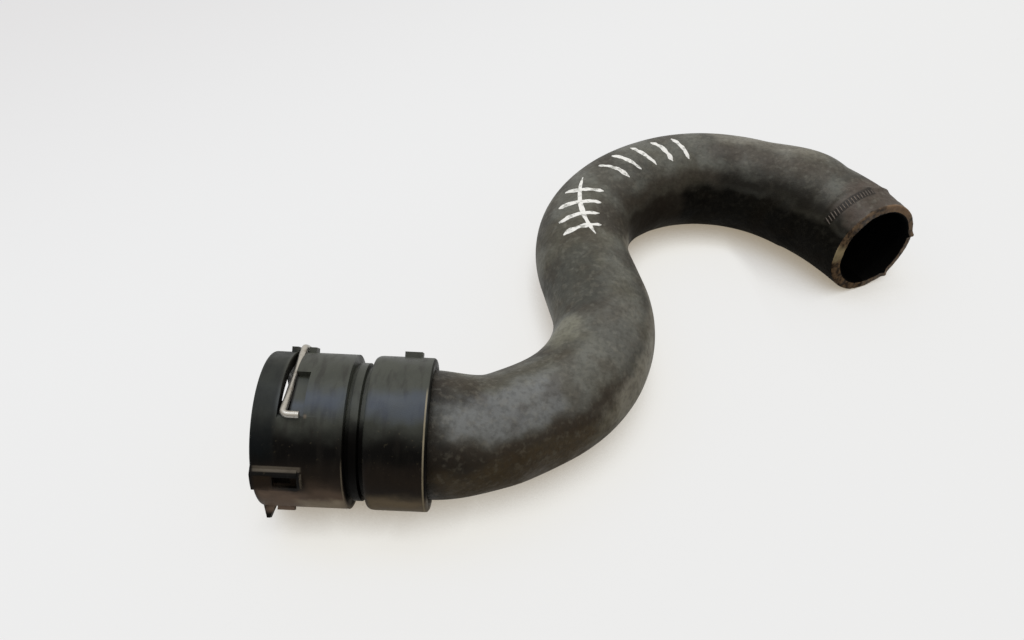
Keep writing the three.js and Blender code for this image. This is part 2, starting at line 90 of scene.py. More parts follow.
# Burrs that the knife left on the rim: angle in degrees, width in degrees, length in mm
BURRS = [(4, 2.6, 1.1), (303, 3.2, 1.0)]
BORE_SHIFT = 0.9
HOSE_SIDES = 224
# Spacing of the rings, closer together near the cut
RING_STEP = 1.35
FINE_RING_STEP = 0.7
FINE_FROM_END = 26
LAST_RING_FROM_END = 0.9
# Rings of the cut face, from the worn outer edge over the rough cut into the bore: inset, set back
CUT_RINGS = [
    (0.0, 0.75), (0.12, 0.35), (0.45, 0.08), (1.2, 0.0), (2.1, 0.06), (3.1, 0.0), (3.75, 0.12), (4.0, 0.5),
]
CUT_FACE_RINGS = 6
sleeved = sleeve_high.x - hose_start
# Straights as length and 0, bends as radius and turn in degrees
ROUTE = [
    (sleeved + 1.2, 0), (43, 35.3), (17.2, 0), (51, 69), (17.5, 0), (51.5, -65.2), (65, -65.8),
    (88, -30.7), (8, 0),
]


def leg_length(size, turn):
    """Length of a straight or a bend of the route."""
    return size * abs(turn) * RAD if turn else size


hose_length = sum(leg_length(*leg) for leg in ROUTE)


def plan_at(distance):
    """Plan position and heading at a distance along the hose."""
    x, y, heading, left = hose_start, mouth.y, 0.0, distance
    for size, turn in ROUTE:
        run = min(left, leg_length(size, turn))
        if turn:
            side = math.copysign(1, turn)
            after = heading + side * run / size
            x += side * size * (math.sin(after) - math.sin(heading))
            y -= side * size * (math.cos(after) - math.cos(heading))
            heading = after
        else:
            x += run * math.cos(heading)
            y += run * math.sin(heading)
        left -= run
        if left <= 0:
            break
    past_end = max(left, 0)
    return x + past_end * math.cos(heading), y + past_end * math.sin(heading), heading


def smooth(t):
    """From 0 to 1 without corners."""
    x = min(max(t, 0), 1)
    return x * x * (3 - 2 * x)


def hose_radius(distance):
    """Outer radius: bell over the stem, plain run, wider arch, shoulder, clamp seat, narrowed end."""
    past = distance - sleeved
    from_end = hose_length - distance
    shoulder_at = CLAMP_SEAT_LENGTH + SHOULDER_FALL
    bell = (COUPLED_END_RADIUS - HOSE_RADIUS) * (1 - smooth(past / COUPLED_TAPER))
    swell = (ARCH_RADIUS - HOSE_RADIUS) * smooth((past - SWELL_START) / SWELL_RUN)
    rise = (SHOULDER_RADIUS - ARCH_RADIUS) * smooth(1 - (from_end - shoulder_at) / SHOULDER_RISE)
    fall = (SHOULDER_RADIUS - CLAMP_SEAT_RADIUS) * smooth((shoulder_at - from_end) / SHOULDER_FALL)
    tuck = (CLAMP_SEAT_RADIUS - END_RADIUS) * smooth(1 - from_end / END_TAPER)
    return HOSE_RADIUS + bell + swell + rise - fall - tuck


def centre_height(distance):
    """Height of the centreline: level in the coupler, then resting on the table."""
    resting = hose_radius(distance)
    return resting + (mouth.z - resting) * (1 - smooth((distance - sleeved) / LIFT_RUN))


def hose_point(distance, angle, radius):
    """A point by its distance along the hose, its angle from the left side over the top, its radius."""
    x, y, heading = plan_at(distance)
    before, after = max(distance - 0.5, 0), min(distance + 0.5, hose_length)
    slope = (centre_height(after) - centre_height(before)) / (after - before)
    flat = Vector((math.cos(heading), math.sin(heading), 0))
    along = (flat + Vector((0, 0, slope))).normalized()
    side = Vector((-flat.y, flat.x, 0))
    out = side * math.cos(angle) + along.cross(side) * math.sin(angle)
    # Over the narrowed end the rings turn into the plane of the cut
    cut_heading = heading + CUT_TURN * RAD
    cut = Vector((math.cos(cut_heading), math.sin(cut_heading), math.tan(CUT_LEAN * RAD))).normalized()
    share = smooth(1 - (hose_length - distance) / END_TAPER) / flat.dot(cut)
    return Vector((x, y, centre_height(distance))) + out * radius - flat * radius * out.dot(cut) * share


def ridge_line(degrees):
    """Distance along the hose of the clamp's ridge at an angle."""
    return hose_length - RIDGE_FROM_CUT - RIDGE_SLANT * smooth((degrees - 72) / 44)


def skin_radius(distance, angle):
    """The worn outer skin: a little out of round, with the clamp's slanted ridge."""
    spot = Vector((distance * 0.022, math.cos(angle) * 0.9, math.sin(angle) * 0.9))
    free = smooth((distance - sleeved - 2) / 12)
    uneven = 0.3 * noise.noise(spot) + 0.07 * noise.noise(spot * 5) + 0.02 * noise.noise(spot * 19)
    degrees = angle / RAD
    shown = smooth((degrees - 25) / 30) * (1 - smooth((degrees - 138) / 27))
    over = distance - ridge_line(degrees)
    ridge = shown * RIDGE_HEIGHT * math.exp(-(over / RIDGE_WIDTH) ** 2)
    pressed = shown * BAND_DEPTH * smooth(over / 1.4) * (1 - smooth((over - BAND_WIDTH) / 1.5))
    return hose_radius(distance) + free * uneven * 0.8 + ridge - pressed


def cut_raggedness(angle):
    """How far the knife strayed along the hose at an angle round the cut."""
    spot = Vector((math.cos(angle), math.sin(angle), 0.4))
    burr = sum(length * math.exp(-((angle / RAD - at) / width) ** 2) for at, width, length in BURRS)
    wave = 0.4 * noise.noise(spot * 2.1)
    return burr + wave + 0.2 * noise.noise(spot * 7.3) + 0.1 * noise.noise(spot * 23)


def ring_distances():
    """Distances of the outer skin's rings along the hose."""
    rings = []
    distance = 0.0
    while distance < hose_length - LAST_RING_FROM_END:
        rings.append(distance)
        distance += RING_STEP if distance < hose_length - FINE_FROM_END else FINE_RING_STEP
    return rings


def hose_mesh():
    """Points and faces of both skins and the cut; each ring's distance, and how many rings are outside."""
    rings = []
    turns = [2 * math.pi * i / HOSE_SIDES for i in range(HOSE_SIDES)]
    outer = ring_distances()
    along = []
    for distance in outer:
        rings.append([hose_point(distance, a, skin_radius(distance, a)) for a in turns])
        along.append(distance)
    for inset, back in CUT_RINGS:
        ring = []
        for a in turns:
            stray = cut_raggedness(a) - 0.5
            rough = 0.16 * noise.noise(Vector((math.cos(a) * 9, math.sin(a) * 9, inset * 2)))
            end = hose_length - back + stray + (rough if 0.1 < inset < 3.9 else 0)
            wall_share = 1 - BORE_SHIFT / HOSE_WALL * math.cos(a)
            edge_radius = skin_radius(hose_length - LAST_RING_FROM_END, a)
            ring.append(hose_point(end, a, edge_radius - inset * wall_share))
        rings.append(ring)
        along.append(hose_length)
    inner = [d for i, d in enumerate(outer) if i % 3 == 0 and d < hose_length - 3]
    for distance in reversed(inner):
        shift = BORE_SHIFT * smooth(1 - (hose_length - distance) / 25)
        inner_radius = hose_radius(distance) - HOSE_WALL
        rings.append([hose_point(distance, a, inner_radius + shift * math.cos(a)) for a in turns])
        along.append(distance)
    points = [p for ring in rings for p in ring]
    faces = []
    for i in range(len(rings)):
        here, after = i * HOSE_SIDES, (i + 1) % len(rings) * HOSE_SIDES
        for j in range(HOSE_SIDES):
            k = (j + 1) % HOSE_SIDES
            faces.append((here + j, here + k, after + k, after + j))
    return points, faces, along, len(outer)


def linear(hex_colour):
    """An sRGB hex value as the linear colour that a shader reads."""
    parts = [int(hex_colour[i:i + 2], 16) / 255 for i in (1, 3, 5)]
    return [*(c / 12.92 if c <= 0.04045 else ((c + 0.055) / 1.055) ** 2.4 for c in parts), 1.0]


def add(tree, kind, inputs=None, **settings):
    """Adds a node; an input's value is a number, a colour or another node's socket."""
    made = tree.nodes.new(kind)
    for name, value in settings.items():
        setattr(made, name, value)
    for key, value in (inputs or {}).items():
        if isinstance(value, bpy.types.NodeSocket):
            tree.links.new(value, made.inputs[key])
        else:
            made.inputs[key].default_value = value
    return made


def new_material(name):
    """An empty node material, its tree, its output and its object coordinates."""
    material = bpy.data.materials.new(name)
    material.use_nodes = True
    tree = material.node_tree
    tree.nodes.clear()
    output = add(tree, "ShaderNodeOutputMaterial")
    place = add(tree, "ShaderNodeTexCoord").outputs["Object"]
    return material, tree, output, place


def mottle(tree, place, size_mm, detail, shift=0.0, stretch=(1, 1, 1)):
    """Noise with features of a real size, mostly between 0.25 and 0.75."""
    moved = add(tree, "ShaderNodeMapping", {
        "Vector": place, "Location": (shift, shift, shift), "Scale": stretch})
    made = add(tree, "ShaderNodeTexNoise", {
        "Vector": moved.outputs[0], "Scale": 1 / (size_mm * MM), "Detail": detail})
    return made.outputs["Fac"]


def blotches(tree, place, size_mm, low, high, detail=4.0, shift=0.0, stretch=(1, 1, 1)):
    """Noise with features of a real size, as a mask that runs from 0 at low to 1 at high."""
    return ramp(tree, mottle(tree, place, size_mm, detail, shift, stretch), low, high)


def times(tree, *values):
    """The product of sockets or numbers."""
    result = values[0]
    for value in values[1:]:
        result = add(tree, "ShaderNodeMath", {0: result, 1: value}, operation="MULTIPLY").outputs[0]
    return result


def mixed(tree, mask, first, second):
    """The first colour where the mask is 0 and the second where it is 1."""
    made = add(tree, "ShaderNodeMix", {0: mask, 6: first, 7: second}, data_type="RGBA")
    return made.outputs[2]


def tinted(tree, colour, hex_colour, *shares):
    """The colour with another over it, as strongly as the product of masks and numbers says."""
    return mixed(tree, times(tree, *shares), colour, linear(hex_colour))


def between(tree, mask, first, second):
    """A number that runs from first to second with the mask."""
    made = add(tree, "ShaderNodeMapRange", {"Value": mask, "To Min": first, "To Max": second})
    return made.outputs["Result"]


def ramp(tree, value, low, high):
    """A soft mask that runs from 0 where a value is low to 1 where it is high."""
    return add(tree, "ShaderNodeMapRange", {"Value": value, "From Min": low, "From Max": high},
               interpolation_type="SMOOTHSTEP").outputs["Result"]


def band(tree, value, low, high, soft):
    """A soft mask that is 1 between two values."""
    rising = ramp(tree, value, low - soft, low + soft)
    falling = ramp(tree, value, high + soft, high - soft)
    return times(tree, rising, falling)


def strayed(tree, value, place, size_mm, reach, shift=0.0):
    """A value shifted at random by up to its reach, so that what it bounds has ragged edges."""
    level = mottle(tree, place, size_mm, 5.0, shift)
    offset = add(tree, "ShaderNodeMath", {0: level, 1: 0.5}, operation="SUBTRACT").outputs[0]
    moved = add(tree, "ShaderNodeMath", {0: offset, 1: 4 * reach, 2: value}, operation="MULTIPLY_ADD")
    return moved.outputs[0]


def bumped(tree, layers):
    """Bump from several heights, each a socket with the real depth in millimetres of its relief."""
    normal = None
    for height, depth in layers:
        inputs = {"Height": height, "Strength": 1.0, "Distance": depth * MM}
        if normal is not None:
            inputs["Normal"] = normal
        normal = add(tree, "ShaderNodeBump", inputs).outputs["Normal"]
    return normal


# Painted shade in the hollows between the clamp's ribs, in a row with their slant: mm over degrees, run and
# arc
RIB_SHADE_SLANT = 3.2 / 61
RIB_SHADE_RUN = (318.8, 322.6)
RIB_SHADE_ARC = (84, 150)
# Bloom, stains and worn patches of the skin, with painted shade and a painted reflection: colour, share,
# run along the hose in mm, arc in degrees
WEATHERING_AND_PAINTED_LIGHT = [
    ("#74777a", 0.62, (20, 62), (88, 132)),  # painted blue-grey reflection of the window, by the coupler
    ("#3f3c31", 0.85, (18, 70), (58, 82)),  # olive streak beside it
    ("#2d241a", 0.9, (10, 84), (134, 158)),  # brown run on the near side
    ("#6b6452", 0.6, (48, 78), (158, 190)),
    ("#3c301c", 0.9, (10, 68), (152, 240)),
    ("#6c6d68", 0.5, (60, 106), (84, 132)),
    ("#8a877c", 0.75, (74, 168), (146, 190)),  # paler right side of the leg
    ("#7f7e6e", 0.6, (76, 96), (20, 66)),  # and of its left side
    ("#3c3d37", 0.7, (106, 138), (20, 84)),
    ("#332e28", 0.75, (150, 172), (100, 160)),
    ("#241f1a", 0.92, (168, 228), (150, 280)),  # painted shade under the arch
    # painted shade, darkest under the arch's end
    ("#0c0b09", 0.98, (222, 340), (150, 280)),
    ("#3a352e", 0.85, (172, 250), (132, 150)),
    ("#8b887e", 0.5, (244, 289), (20, 90)),  # dusty back of the arch
    ("#54504b", 0.6, (236, 300), (92, 116)),
    # painted shade on the low near side toward the cut
    ("#3a3833", 0.8, (268, 340), (114, 134)),
    ("#1d1b18", 0.92, (246, 340), (130, 152)),
    ("#4d433c", 0.85, (309, 340), (20, 132)),  # band that the clamp covered
    ("#221e17", 0.9, (8, 25), (20, 100)),  # painted shade in the gap at the sleeve's edge, over grime
    ("#1c1712", 0.85, (8, 29), (136, 162)),
    # painted shade where the hose goes into the sleeve
    ("#13110d", 0.9, (6, 19.5), (-90, 270)),
]


def epdm_rubber():
    """Moulded EPDM, black under grey bloom, with brown grime, painted shade on its low sides, a painted
    reflection by the coupler and a rough cut.
    """
    material, tree, output, place = new_material("moulded_epdm_rubber")
    along = add(tree, "ShaderNodeAttribute", attribute_name="along").outputs["Fac"]
    turn = add(tree, "ShaderNodeAttribute", attribute_name="turn").outputs["Fac"]
    skin = add(tree, "ShaderNodeAttribute", attribute_name="skin").outputs["Fac"]
    bloom = blotches(tree, place, 17, 0.38, 0.62, detail=6)
    brown = blotches(tree, place, 11, 0.46, 0.66, detail=7, shift=3.1)
    olive = blotches(tree, place, 24, 0.46, 0.64, detail=5, shift=7.7)
    scuff = blotches(tree, place, 3.2, 0.56, 0.72, detail=7, shift=1.3)
    colour = mixed(tree, bloom, linear("#403f3a"), linear("#5b5c56"))
    colour = tinted(tree, colour, "#5a5747", olive, 0.4)
    ragged_along = strayed(tree, along, place, 14, 7)
    ragged_turn = strayed(tree, turn, place, 12, 9, shift=4.0)
    for patch, share, run, arc in WEATHERING_AND_PAINTED_LIGHT:
        in_run = band(tree, ragged_along, *run, 5)
        colour = tinted(tree, colour, patch, in_run, band(tree, ragged_turn, *arc, 9), share)
    low_side = times(tree, ramp(tree, turn, 112, 146), ramp(tree, along, 150, 180))
    colour = tinted(tree, colour, "#3a3126", brown, between(tree, low_side, 0.4, 0.08))
    dark_flecks = blotches(tree, place, 1.7, 0.42, 0.66, detail=6, shift=6.1)
    pale_flecks = blotches(tree, place, 2.3, 0.50, 0.70, detail=6, shift=8.3)
    colour = tinted(tree, colour, "#24221d", dark_flecks, 0.28)
    colour = tinted(tree, colour, "#827e72", pale_flecks, between(tree, low_side, 0.16, 0.03))
    colour = tinted(tree, colour, "#85857c", scuff, ramp(tree, turn, 150, 110), 0.2)
    # Painted shade between the clamp's ribs
    row = add(tree, "ShaderNodeMath", {0: turn, 1: RIB_SHADE_SLANT, 2: along}, operation="MULTIPLY_ADD")
    in_rib_shade = band(tree, row.outputs[0], *RIB_SHADE_RUN, 0.5)
    colour = tinted(tree, colour, "#14110f", in_rib_shade, band(tree, turn, *RIB_SHADE_ARC, 2), 0.8)
    grime = blotches(tree, place, 2.4, 0.40, 0.62, detail=6, shift=5.0)
    cut_colour = mixed(tree, grime, linear("#332a22"), linear("#6a5743"))
    cut_colour = tinted(tree, cut_colour, "#8a6f55", band(tree, turn, 40, 88, 9), 0.6)
    cut_colour = tinted(tree, cut_colour, "#a89a7a", band(tree, turn, 162, 182, 5), 0.7)
    colour = mixed(tree, ramp(tree, skin, 0.4, 0.6), colour, cut_colour)
    in_bore = ramp(tree, skin, 1.1, 1.5)
    colour = tinted(tree, colour, "#050505", in_bore)
    near_side = times(tree, ramp(tree, turn, 128, 156), ramp(tree, along, 120, 90))
    shine = times(tree, between(tree, low_side, 0.3, 0.03), between(tree, near_side, 1.0, 0.4))
    shine = times(tree, shine, between(tree, in_bore, 1.0, 0.1))
    rough = between(tree, times(tree, bloom, between(tree, brown, 1.0, 0.3)), 0.68, 0.5)
    grain = blotches(tree, place, 0.7, 0.3, 0.7, detail=3)
    pores = blotches(tree, place, 3.5, 0.3, 0.7, detail=5, shift=2.2)
    normal = bumped(tree, [(pores, 0.12), (grain, 0.035)])
    shader = add(tree, "ShaderNodeBsdfPrincipled", {
        "Base Color": colour, "Roughness": rough, "IOR": 1.5, "Specular IOR Level": shine,
        "Normal": normal})
    tree.links.new(shader.outputs[0], output.inputs["Surface"])
    return material


def mesh_piece(name, points, faces, material, flat=False):
    """A new object from points in millimetres, its place in its mesh."""
    mesh = bpy.data.meshes.new(name)
    mesh.from_pydata([Vector(p) * MM for p in points], [], faces)
    mesh.validate()
    mesh.materials.append(material)
    if flat:
        mesh.shade_flat()
    else:
        mesh.shade_smooth()
    piece = bpy.data.objects.new(name, mesh)
    bpy.context.scene.collection.objects.link(piece)
    return piece


rubber = epdm_rubber()
points, faces, along, outer_rings = hose_mesh()
hose = mesh_piece("moulded_hose", points, faces, rubber)
along_attribute = hose.data.attributes.new("along", "FLOAT", "POINT")
along_attribute.data.foreach_set("value", [d for d in along for _ in range(HOSE_SIDES)])
# 0 on the outer skin, 1 on the cut and 2 in the bore
bore_rings = len(along) - outer_rings - CUT_FACE_RINGS
kinds = [0.0] * outer_rings + [1.0] * CUT_FACE_RINGS + [2.0] * bore_rings
skin_attribute = hose.data.attributes.new("skin", "FLOAT", "POINT")
skin_attribute.data.foreach_set("value", [k for k in kinds for _ in range(HOSE_SIDES)])
# Degrees from the left side up over the top, with the seam along the bottom
ring_turns = [(360 * i / HOSE_SIDES + 90) % 360 - 90 for i in range(HOSE_SIDES)]
turn_attribute = hose.data.attributes.new("turn", "FLOAT", "POINT")
turn_attribute.data.foreach_set("value", ring_turns * len(along))
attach(hose, "hose_assembly")
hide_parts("hose")

# Marks of the clamp band
# The slots of a worm-drive band have left a row of small slanted ribs in the rubber on the upper side of
# the seat, each as long as a slot is wide.
RIB_COUNT = 17
RIB_FIRST = (313.0, 147)
RIB_LAST = (316.2, 86)
RIB_SLANT = 3.0
RIB_SIZE = (0.62, 0.55, 3.7)


def geometry_tree(name, sockets):
    """A new Geometry Nodes tree with named inputs, its input node and its output node."""
    tree = bpy.data.node_groups.new(name, "GeometryNodeTree")
    for socket_name, kind, value in sockets:
        socket = tree.interface.new_socket(socket_name, in_out="INPUT", socket_type=kind)
        if value is not None:
            socket.default_value = value
    tree.interface.new_socket("Geometry", in_out="OUTPUT", socket_type="NodeSocketGeometry")
    return tree, add(tree, "NodeGroupInput"), add(tree, "NodeGroupOutput")


def grown(name, tree, values, start_mesh=None):
    """Runs a tree on a mesh and returns its result as a plain object."""
    carrier = bpy.data.objects.new(name, start_mesh or bpy.data.meshes.new(name))
    bpy.context.scene.collection.objects.link(carrier)
    modifier = carrier.modifiers.new("made", "NODES")
    modifier.node_group = tree
    for item in tree.interface.items_tree:
        if item.in_out == "INPUT" and item.name in values:
            modifier[item.identifier] = values[item.name]
    evaluated = carrier.evaluated_get(bpy.context.evaluated_depsgraph_get())
    mesh = bpy.data.meshes.new_from_object(evaluated)
    carrier.modifiers.remove(modifier)
    carrier.data = mesh
    return carrier


def rib_tree():
    """A long ball at each point, turned by the point's attribute and a little uneven in size."""
    tree, given, out = geometry_tree("clamp_ribs", [
        ("Geometry", "NodeSocketGeometry", None), ("Rib Size", "NodeSocketVector", (0.001, 0.001, 0.003)),
        ("Seed", "NodeSocketInt", 4), ("Material", "NodeSocketMaterial", None),
    ])
    ball = add(tree, "GeometryNodeMeshIcoSphere", {"Radius": 0.5, "Subdivisions": 3}).outputs[0]
    turn = add(tree, "GeometryNodeInputNamedAttribute", {"Name": "turned"},
               data_type="FLOAT_VECTOR").outputs[0]
    vary = add(tree, "FunctionNodeRandomValue", {2: 0.8, 3: 1.1, "Seed": given.outputs["Seed"]},
               data_type="FLOAT").outputs[1]
    size = add(tree, "ShaderNodeVectorMath", {0: given.outputs["Rib Size"], "Scale": vary},
               operation="SCALE").outputs[0]
    ribs = add(tree, "GeometryNodeInstanceOnPoints", {
        "Points": given.outputs["Geometry"], "Instance": ball, "Rotation": turn, "Scale": size})
    real = add(tree, "GeometryNodeRealizeInstances", {"Geometry": ribs.outputs[0]}).outputs[0]
    smoothed = add(tree, "GeometryNodeSetShadeSmooth", {"Geometry": real}).outputs[0]
    done = add(tree, "GeometryNodeSetMaterial", {
        "Geometry": smoothed, "Material": given.outputs["Material"]}).outputs[0]
    tree.links.new(done, out.inputs[0])
    return tree


def pressed_rubber():
    """The same rubber where the band has polished it: browner, with less bloom."""
    material, tree, output, place = new_material("band_pressed_rubber")
    grime = blotches(tree, place, 1.6, 0.35, 0.65, detail=4)
    colour = mixed(tree, grime, linear("#4a423b"), linear("#665c53"))
    shader = add(tree, "ShaderNodeBsdfPrincipled", {"Base Color": colour, "Roughness": 0.55, "IOR": 1.5})
    tree.links.new(shader.outputs[0], output.inputs["Surface"])
    return material


rib_places, rib_turns = [], []
for i in range(RIB_COUNT):
    share = i / (RIB_COUNT - 1)
    at, degrees = (first + (last - first) * share for first, last in zip(RIB_FIRST, RIB_LAST))
    spot, ahead, aside = (hose_point(d, a * RAD, skin_radius(d, a * RAD) + 0.05) for d, a in (
        (at, degrees), (at + 1.8, degrees + RIB_SLANT / 2), (at, degrees + 1)))
    length_way = (ahead - spot).normalized()
    out_way = length_way.cross(aside - spot).normalized()
    rib_places.append(spot * MM)
    rib_turns += Matrix((out_way.cross(length_way), out_way, length_way)).transposed().to_euler()
rib_mesh = bpy.data.meshes.new("rib_places")
rib_mesh.from_pydata(rib_places, [], [])
rib_mesh.attributes.new("turned", "FLOAT_VECTOR", "POINT").data.foreach_set("vector", rib_turns)
ribs = grown("clamp_ribs", rib_tree(), {
    "Rib Size": [s * MM for s in RIB_SIZE], "Seed": 4, "Material": pressed_rubber(),
}, rib_mesh)
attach(ribs, "hose_assembly")

# Paint-marker strokes
# Somebody tallied the part with a white paint marker: two groups of plain strokes, drawn by hand on the
# top of the arch, thin where the marker ran dry.
PAINT_LIFT = 0.06
PAINT_EDGE_LIFT = -0.02
STROKE_WIDTH = 3.0
STROKE_STEPS = 34
# Each stroke is a start and an end, as distance along the hose and angle in degrees
TALLY_STROKES = [
    ((147, 60), (151, 108)), ((154, 56), (159, 106)), ((162, 54), (167, 106)), ((171, 54), (175, 102)),
    ((144, 98), (181, 66)),
    ((190, 70), (194, 112)), ((199, 68), (203, 112)), ((208, 70), (212, 114)), ((217, 74), (221, 116)),
    ((226, 76), (230, 116)),
]


def stroke_mesh():
    """Ribbons that lie on the skin, a little uneven in width and in line."""
    rng = random.Random(11)
    points, faces = [], []
    for (d0, a0), (d1, a1) in TALLY_STROKES:
        wander = rng.uniform(0, 50)
        base = len(points)
        for i in range(STROKE_STEPS + 1):
            t = i / STROKE_STEPS
            bow = 0.9 * math.sin(math.pi * t) * noise.noise(Vector((wander, 0, 0)))
            distance = d0 + (d1 - d0) * t + bow * 2 + 0.35 * noise.noise(Vector((wander, t * 5, 1)))
            angle = (a0 + (a1 - a0) * t + 2.0 * noise.noise(Vector((wander, t * 4, 2)))) * RAD
            ahead = Vector((d1 - d0, (a1 - a0) * RAD * HOSE_RADIUS)).normalized()
            pressure = 0.8 + 0.45 * noise.noise(Vector((wander, t * 6, 3)))
            width = STROKE_WIDTH * pressure * min(1, 0.35 + 6 * t, 0.25 + 7 * (1 - t))
            for side in (-1, -0.33, 0.33, 1):
                at_edge = abs(side) == 1
                fray = 0.12 * noise.noise(Vector((wander, t * 22, side * 3))) if at_edge else 0
                edge = side * (width / 2 + fray)
                d = distance - ahead.y * edge
                a = angle + ahead.x * edge / HOSE_RADIUS
                lift = PAINT_EDGE_LIFT if at_edge else PAINT_LIFT
                points.append(hose_point(d, a, skin_radius(d, a) + lift))
        for i in range(STROKE_STEPS):
            for j in range(3):
                here = base + i * 4 + j
                faces.append((here, here + 4, here + 5, here + 1))
    return points, faces


def marker_paint():
    """Opaque white marker paint, matt and slightly chalky, grey where it is thin."""
    material, tree, output, place = new_material("white_marker_paint")
    thin = blotches(tree, place, 2.2, 0.5, 0.68, detail=6)
    colour = mixed(tree, thin, linear("#e9e9e6"), linear("#a5a6a1"))
    chalk = blotches(tree, place, 0.5, 0.3, 0.7)
    shader = add(tree, "ShaderNodeBsdfPrincipled", {
        "Base Color": colour, "Roughness": 0.6, "IOR": 1.48, "Normal": bumped(tree, [(chalk, 0.02)])})
    tree.links.new(shader.outputs[0], output.inputs["Surface"])
    return material


paint = mesh_piece("tally_strokes", *stroke_mesh(), marker_paint())
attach(paint, "hose_assembly")

# Coupler body
# One injection moulding in black glass-filled nylon: a barrel with the clip's slots and pockets, a key
# pad and a locating tooth on its near side, then a groove, a collar and a neck, and the barbed stem.
BARREL_RADIUS = 26
BARREL_LENGTH = 28.8
GROOVE_RADIUS = 22.4
COLLAR_START = 30.3
COLLAR_END = 32.8
COLLAR_RADIUS = 23.3
NECK_RADIUS = 21.8
MOUTH_RADIUS = 22
ROUND_SIDES = 240
neck_end = sleeve_low.x - mouth.x - 0.3


def quarter(start, end, rise_first, steps=6):
    """Points of a quarter round between two (station, radius) corners, bulging outwards."""
    (s0, r0), (s1, r1) = start, end
    made = []
    for i in range(steps + 1):
        a = i / steps * math.pi / 2
        early, late = math.sin(a), 1 - math.cos(a)
        along_share, across_share = (late, early) if rise_first else (early, late)
        made.append((s0 + (s1 - s0) * along_share, r0 + (r1 - r0) * across_share))
    return made


def turned(name, profile, material, sides=ROUND_SIDES):
    """A closed profile of (station, radius) points turned about the coupler's axis."""
    points, faces = [], []
    for station, radius in profile:
        points += [around(station, radius, 360 * i / sides) for i in range(sides)]
    rows = len(profile)
    for i in range(rows):
        here, after = i * sides, (i + 1) % rows * sides
        for j in range(sides):
            k = (j + 1) % sides
            faces.append((here + j, here + k, after + k, after + j))
    return mesh_piece(name, points, faces, material)


def solid_between(name, sections, material):
    """A closed solid through like outlines, one after the other."""
    points = [p for section in sections for p in section]
    sides = len(sections[0])
    faces = [tuple(range(sides)), tuple(range(len(points) - 1, len(points) - 1 - sides, -1))]
    for i in range(len(sections) - 1):
        for j in range(sides):
            k = (j + 1) % sides
            faces.append((i * sides + j, (i + 1) * sides + j, (i + 1) * sides + k, i * sides + k))
    piece = mesh_piece(name, points, faces, material)
    shape = bmesh.new()
    shape.from_mesh(piece.data)
    bmesh.ops.recalc_face_normals(shape, faces=shape.faces)
    shape.to_mesh(piece.data)
    shape.free()
    return piece


def shell_block(name, stations, radii, angles, material, slope=0, steps=10):
    """A stretch of shell; its upper side may slope out to a higher angle at its root."""
    (s0, s1), (r0, r1), (a0, a1) = stations, radii, angles
    sections = []
    for i in range(steps + 1):
        top = a0 + (a1 - a0) * i / steps
        root = a0 + (a1 + slope - a0) * i / steps
        corners = ((s0, r0, root), (s1, r0, root), (s1, r1, top), (s0, r1, top))
        sections.append([around(*corner) for corner in corners])
    return solid_between(name, sections, material)


def upright(stations, heights):
    """A rectangular side outline between two stations and two heights over the axis."""
    (s0, s1), (h0, h1) = stations, heights
    return [(s0, h0), (s1, h0), (s1, h1), (s0, h1)]


def block(name, outline, width, angle, material):
    """A block that stands on the barrel, from a side outline of (station, height) and its width."""
    out = around(0, 1, angle) - mouth
    tangent = Vector((0, -out.z, out.y))
    sections = []
    for side in (-width / 2, width / 2):
        sections.append([mouth + Vector((s, 0, 0)) + out * h + tangent * side for s, h in outline])
    return solid_between(name, sections, material)


def worked(blank, joins, cuts, edge):
    """The blank with its joins and cuts made and its edges rounded, as a plain mesh."""
    for operation, tools in (("UNION", joins), ("DIFFERENCE", cuts)):
        for tool in tools:
            modifier = blank.modifiers.new("tool", "BOOLEAN")
            modifier.operation = operation
            modifier.solver = "EXACT"
            modifier.object = tool
    rounding = blank.modifiers.new("edges", "BEVEL")
    rounding.width = edge * MM
    rounding.segments = 2
    rounding.limit_method = "ANGLE"
    rounding.angle_limit = 32 * RAD
    rounding.harden_normals = True
    evaluated = blank.evaluated_get(bpy.context.evaluated_depsgraph_get())
    mesh = bpy.data.meshes.new_from_object(evaluated)
    blank.modifiers.clear()
    blank.data = mesh
    for tool in joins + cuts:
        bpy.data.objects.remove(tool)
    return blank


def coupler_place(tree, place):
    """Station in mm, angle in degrees and radius in mm of a point of the coupler."""
    from_mouth = add(tree, "ShaderNodeVectorMath", {0: place, 1: tuple(mouth * MM)},
                     operation="SUBTRACT").outputs[0]
    split = add(tree, "ShaderNodeSeparateXYZ", {0: from_mouth}).outputs
    across = add(tree, "ShaderNodeMath", {0: split[1], 1: -1.0}, operation="MULTIPLY").outputs[0]
    angle = add(tree, "ShaderNodeMath", {0: split[2], 1: across}, operation="ARCTAN2").outputs[0]
    flat = add(tree, "ShaderNodeVectorMath", {0: from_mouth, 1: (0, 1, 1)},
               operation="MULTIPLY").outputs[0]
    radius = add(tree, "ShaderNodeVectorMath", {0: flat}, operation="LENGTH").outputs["Value"]
    scaled = [(split[0], 1 / MM), (angle, 1 / RAD), (radius, 1 / MM)]
    return [times(tree, value, factor) for value, factor in scaled]


# Colour of the painted reflection of the overhead window, and the gloss under it and under the dust and
# painted shade
PAINTED_REFLECTION = "#333f54"
PAINTED_REFLECTION_GLOSS = 1.6
DUST_AND_SHADE_GLOSS = 0.35
# A band with a softer edge than this, in degrees, has ragged edges too
CRISP_EDGE = 2


